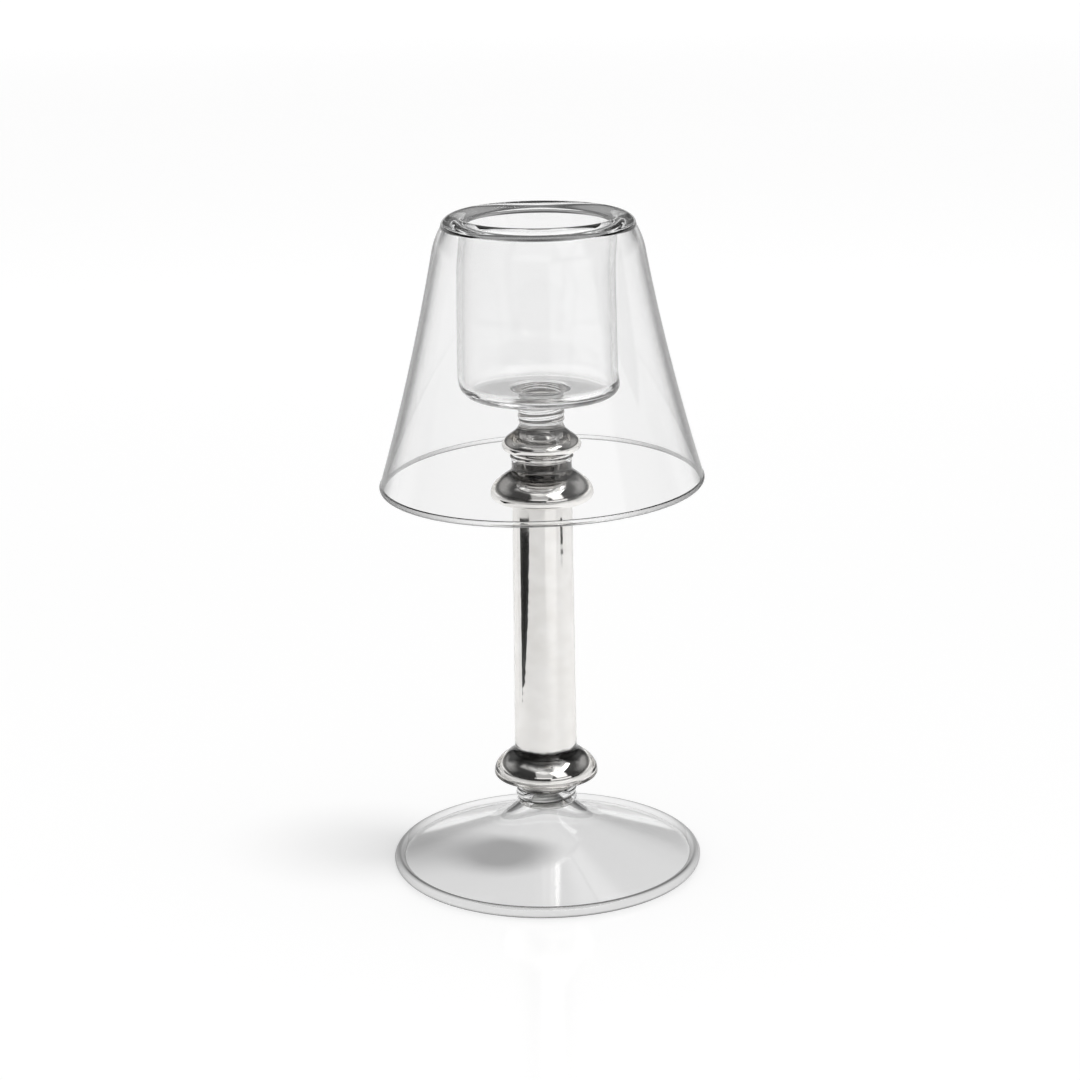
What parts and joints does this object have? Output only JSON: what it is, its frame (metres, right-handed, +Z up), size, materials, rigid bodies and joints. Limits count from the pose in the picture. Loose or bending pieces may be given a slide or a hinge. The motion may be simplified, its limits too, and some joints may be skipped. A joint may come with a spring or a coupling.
{
  "type": "candle lamp",
  "caption": "Clear blown-glass candle lamp: a conical shade hangs from the rim of its straight candle cup, on a silvered, knopped stem with a flared foot.",
  "frame": {"origin": "middle of the foot on the table that the lamp stands on", "axes": "+Z up along the axis of the stem, cup and shade; X and Y are free, because every piece is round"},
  "size_m": [0.1008, 0.1008, 0.21],
  "materials": {
    "clear_glass": "clear polished blown glass",
    "silver": "silvering on the inside of the glass",
    "plug": "soft matte silicone"
  },
  "bodies": {
    "root": {"foot_rim": "clear_glass", "foot": "clear_glass", "foot_collar": "clear_glass", "lower_knop": "clear_glass", "stem_tube": "clear_glass", "upper_knop": "clear_glass", "stem_waist": "clear_glass", "small_knop": "clear_glass", "cup_neck": "clear_glass", "candle_cup": "clear_glass", "rim_ring": "clear_glass", "shade": "clear_glass", "shade_hem": "clear_glass", "silver_lining": "silver", "seal_plug": "plug"}
  },
  "joints": []
}
